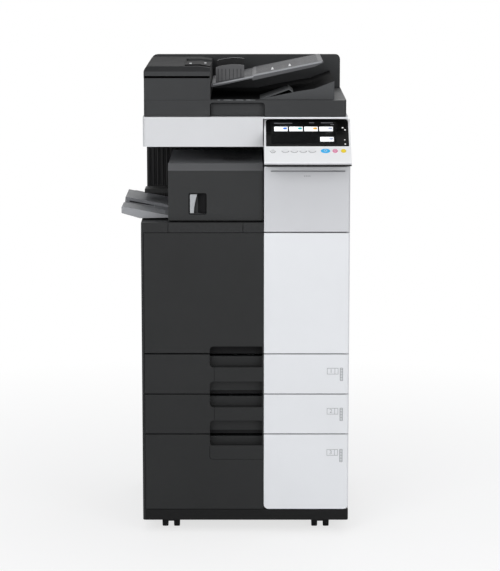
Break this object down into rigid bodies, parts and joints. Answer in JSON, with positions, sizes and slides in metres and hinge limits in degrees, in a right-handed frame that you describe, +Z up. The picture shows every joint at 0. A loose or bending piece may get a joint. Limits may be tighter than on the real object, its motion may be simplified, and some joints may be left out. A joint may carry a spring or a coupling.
{
  "type": "photocopier",
  "caption": "Floor-standing office photocopier with document feeder, tilted control panel, inner finisher, hinged doors, sliding paper trays and swivel casters.",
  "frame": {"origin": "centre of the footprint of the whole machine, on the floor under its wheels", "axes": "+Z up, the machine faces -Y, +X to its right as a user facing it sees it"},
  "size_m": [0.628, 0.6842, 1.3078],
  "materials": {
    "white_cover": "fine texture",
    "dark_cover": "fine texture",
    "mid_grey": "satin",
    "light_grey": "satin",
    "inner_frame": "satin",
    "panel_glass": "gloss",
    "platen_glass": "clear",
    "rubber": "matte",
    "start_blue": "satin",
    "stop_pink": "satin",
    "reset_yellow": "satin",
    "white_pad": "matte"
  },
  "bodies": {
    "cabinet": {"base_plate": "dark_cover", "main_frame": "inner_frame", "left_cover": "dark_cover", "right_cover": "light_grey", "rear_cover": "light_grey", "power_inlet": "rubber", "deck_cover": "dark_cover", "bay_liner": "dark_cover", "scanner_housing": "white_cover", "platen_glass": "platen_glass", "panel_arm": "dark_cover", "waste_toner_box": "white_cover", "transfer_unit": "dark_cover", "toner_cartridge_1": "mid_grey", "toner_cartridge_2": "mid_grey", "toner_cartridge_3": "mid_grey", "toner_cartridge_4": "mid_grey"},
    "fork_front_left": {"caster_fork_front_left": "dark_cover"},
    "wheels_front_left": {"caster_wheels_front_left": "rubber"},
    "fork_front_right": {"caster_fork_front_right": "dark_cover"},
    "wheels_front_right": {"caster_wheels_front_right": "rubber"},
    "fork_rear_left": {"caster_fork_rear_left": "dark_cover"},
    "wheels_rear_left": {"caster_wheels_rear_left": "rubber"},
    "fork_rear_right": {"caster_fork_rear_right": "dark_cover"},
    "wheels_rear_right": {"caster_wheels_rear_right": "rubber"},
    "paper_tray_1": {"tray_1": "dark_cover", "front_tray_1": "white_cover"},
    "paper_tray_2": {"tray_2": "dark_cover", "front_tray_2": "white_cover"},
    "paper_tray_3": {"tray_3": "dark_cover", "front_tray_3": "white_cover"},
    "front_door": {"front_door": "dark_cover", "front_door_panel": "white_cover"},
    "upper_door": {"upper_door": "white_cover"},
    "side_door": {"side_door": "light_grey"},
    "bypass_tray": {"bypass_tray": "light_grey"},
    "finisher": {"finisher_case": "dark_cover", "output_tray": "mid_grey"},
    "finisher_door": {"finisher_door": "dark_cover"},
    "finisher_lever": {"finisher_lever": "light_grey"},
    "scan_carriage": {"scan_carriage": "dark_cover"},
    "control_panel": {"panel_body": "white_cover", "panel_glass": "panel_glass"},
    "home_key_body": {"home_key": "light_grey"},
    "function_key_1_body": {"function_key_1": "light_grey"},
    "function_key_2_body": {"function_key_2": "light_grey"},
    "function_key_3_body": {"function_key_3": "light_grey"},
    "function_key_4_body": {"function_key_4": "light_grey"},
    "start_key_body": {"start_key": "start_blue"},
    "stop_key_body": {"stop_key": "stop_pink"},
    "reset_key_body": {"reset_key": "reset_yellow"},
    "adf_lid": {"adf_base": "dark_cover", "platen_pad": "white_pad"},
    "feeder_cover": {"feeder_cover": "dark_cover"},
    "cover_lever": {"cover_lever": "dark_cover"},
    "document_tray": {"document_tray": "mid_grey"},
    "front_guide": {"front_guide": "light_grey"},
    "rear_guide": {"rear_guide": "light_grey"},
    "feed_roller": {"feed_roller": "rubber"}
  },
  "joints": [
    {"name": "swivel_front_left", "type": "hinge", "parent": "cabinet", "child": "fork_front_left", "pos_m": [-0.182, -0.19789, 0.055], "axis": [0, 0, 1], "continuous": true},
    {"name": "roll_front_left", "type": "hinge", "parent": "fork_front_left", "child": "wheels_front_left", "pos_m": [-0.182, -0.18589, 0.026], "axis": [1, 0, 0], "continuous": true},
    {"name": "swivel_front_right", "type": "hinge", "parent": "cabinet", "child": "fork_front_right", "pos_m": [0.238, -0.19789, 0.055], "axis": [0, 0, 1], "continuous": true},
    {"name": "roll_front_right", "type": "hinge", "parent": "fork_front_right", "child": "wheels_front_right", "pos_m": [0.238, -0.18589, 0.026], "axis": [1, 0, 0], "continuous": true},
    {"name": "swivel_rear_left", "type": "hinge", "parent": "cabinet", "child": "fork_rear_left", "pos_m": [-0.182, 0.27011, 0.055], "axis": [0, 0, 1], "continuous": true},
    {"name": "roll_rear_left", "type": "hinge", "parent": "fork_rear_left", "child": "wheels_rear_left", "pos_m": [-0.182, 0.28211, 0.026], "axis": [1, 0, 0], "continuous": true},
    {"name": "swivel_rear_right", "type": "hinge", "parent": "cabinet", "child": "fork_rear_right", "pos_m": [0.238, 0.27011, 0.055], "axis": [0, 0, 1], "continuous": true},
    {"name": "roll_rear_right", "type": "hinge", "parent": "fork_rear_right", "child": "wheels_rear_right", "pos_m": [0.238, 0.28211, 0.026], "axis": [1, 0, 0], "continuous": true},
    {"name": "tray_1_slide", "type": "slide", "parent": "cabinet", "child": "paper_tray_1", "axis": [0, -1, 0], "range_m": [0, 0.36]},
    {"name": "tray_2_slide", "type": "slide", "parent": "cabinet", "child": "paper_tray_2", "axis": [0, -1, 0], "range_m": [0, 0.36]},
    {"name": "tray_3_slide", "type": "slide", "parent": "cabinet", "child": "paper_tray_3", "axis": [0, -1, 0], "range_m": [0, 0.36]},
    {"name": "front_door_hinge", "type": "hinge", "parent": "cabinet", "child": "front_door", "pos_m": [0.028, -0.25489, 0.5136], "axis": [1, 0, 0], "range_deg": [0, 90]},
    {"name": "upper_door_hinge", "type": "hinge", "parent": "cabinet", "child": "upper_door", "pos_m": [0.028, -0.25489, 0.8521], "axis": [1, 0, 0], "range_deg": [0, 90]},
    {"name": "side_door_hinge", "type": "hinge", "parent": "cabinet", "child": "side_door", "pos_m": [0.314, 0.25181, 0.5214], "axis": [0, 0, 1], "range_deg": [0, 95]},
    {"name": "bypass_tray_hinge", "type": "hinge", "parent": "side_door", "child": "bypass_tray", "pos_m": [0.314, 0.07286, 0.5517], "axis": [0, 1, 0], "range_deg": [0, 75]},
    {"name": "finisher_slide", "type": "slide", "parent": "cabinet", "child": "finisher", "axis": [-1, 0, 0], "range_m": [0, 0.12]},
    {"name": "finisher_door_hinge", "type": "hinge", "parent": "finisher", "child": "finisher_door", "pos_m": [-0.18364, -0.24189, 0.8781], "axis": [0, 0, -1], "range_deg": [0, 90]},
    {"name": "finisher_lever_hinge", "type": "hinge", "parent": "finisher_door", "child": "finisher_lever", "pos_m": [-0.12574, -0.24189, 0.8966], "axis": [0, 0, -1], "range_deg": [0, 20], "stiffness_Nm_per_rad": 0.2},
    {"name": "scan_slide", "type": "slide", "parent": "cabinet", "child": "scan_carriage", "axis": [1, 0, 0], "range_m": [0, 0.41]},
    {"name": "panel_tilt", "type": "hinge", "parent": "cabinet", "child": "control_panel", "pos_m": [0.028, -0.1952, 1.14235], "axis": [-1, 0, 0], "range_deg": [0, 30]},
    {"name": "home_key_press", "type": "slide", "parent": "control_panel", "child": "home_key_body", "axis": [0, 0.5821, -0.8131], "range_m": [0, 0.0012], "stiffness_N_per_m": 400},
    {"name": "function_key_1_press", "type": "slide", "parent": "control_panel", "child": "function_key_1_body", "axis": [0, 0.5821, -0.8131], "range_m": [0, 0.0012], "stiffness_N_per_m": 400},
    {"name": "function_key_2_press", "type": "slide", "parent": "control_panel", "child": "function_key_2_body", "axis": [0, 0.5821, -0.8131], "range_m": [0, 0.0012], "stiffness_N_per_m": 400},
    {"name": "function_key_3_press", "type": "slide", "parent": "control_panel", "child": "function_key_3_body", "axis": [0, 0.5821, -0.8131], "range_m": [0, 0.0012], "stiffness_N_per_m": 400},
    {"name": "function_key_4_press", "type": "slide", "parent": "control_panel", "child": "function_key_4_body", "axis": [0, 0.5821, -0.8131], "range_m": [0, 0.0012], "stiffness_N_per_m": 400},
    {"name": "start_key_press", "type": "slide", "parent": "control_panel", "child": "start_key_body", "axis": [0, 0.5821, -0.8131], "range_m": [0, 0.0012], "stiffness_N_per_m": 400},
    {"name": "stop_key_press", "type": "slide", "parent": "control_panel", "child": "stop_key_body", "axis": [0, 0.5821, -0.8131], "range_m": [0, 0.0012], "stiffness_N_per_m": 400},
    {"name": "reset_key_press", "type": "slide", "parent": "control_panel", "child": "reset_key_body", "axis": [0, 0.5821, -0.8131], "range_m": [0, 0.0012], "stiffness_N_per_m": 400},
    {"name": "lid_hinge", "type": "hinge", "parent": "cabinet", "child": "adf_lid", "pos_m": [0.028, 0.32211, 1.1638], "axis": [-1, 0, 0], "range_deg": [0, 60]},
    {"name": "feeder_cover_hinge", "type": "hinge", "parent": "adf_lid", "child": "feeder_cover", "pos_m": [-0.249, -0.22789, 1.2671], "axis": [0, -1, 0], "range_deg": [0, 75]},
    {"name": "cover_lever_hinge", "type": "hinge", "parent": "feeder_cover", "child": "cover_lever", "pos_m": [-0.13951, -0.11789, 1.2963], "axis": [0, -1, 0], "range_deg": [0, 25], "stiffness_Nm_per_rad": 0.2},
    {"name": "document_tray_hinge", "type": "hinge", "parent": "adf_lid", "child": "document_tray", "pos_m": [-0.06211, -0.00789, 1.2418], "axis": [0, -1, 0], "range_deg": [0, 20]},
    {"name": "front_guide_slide", "type": "slide", "parent": "document_tray", "child": "front_guide", "axis": [0, 1, 0], "range_m": [0, 0.09]},
    {"name": "rear_guide_slide", "type": "slide", "parent": "document_tray", "child": "rear_guide", "axis": [0, -1, 0], "range_m": [0, 0.09]},
    {"name": "feed_roller_spin", "type": "hinge", "parent": "adf_lid", "child": "feed_roller", "pos_m": [-0.09381, -0.04789, 1.2618], "axis": [0, 1, 0], "continuous": true}
  ],
  "couplings": [
    {"joint": "rear_guide_slide", "follows": "front_guide_slide", "ratio": 1}
  ]
}
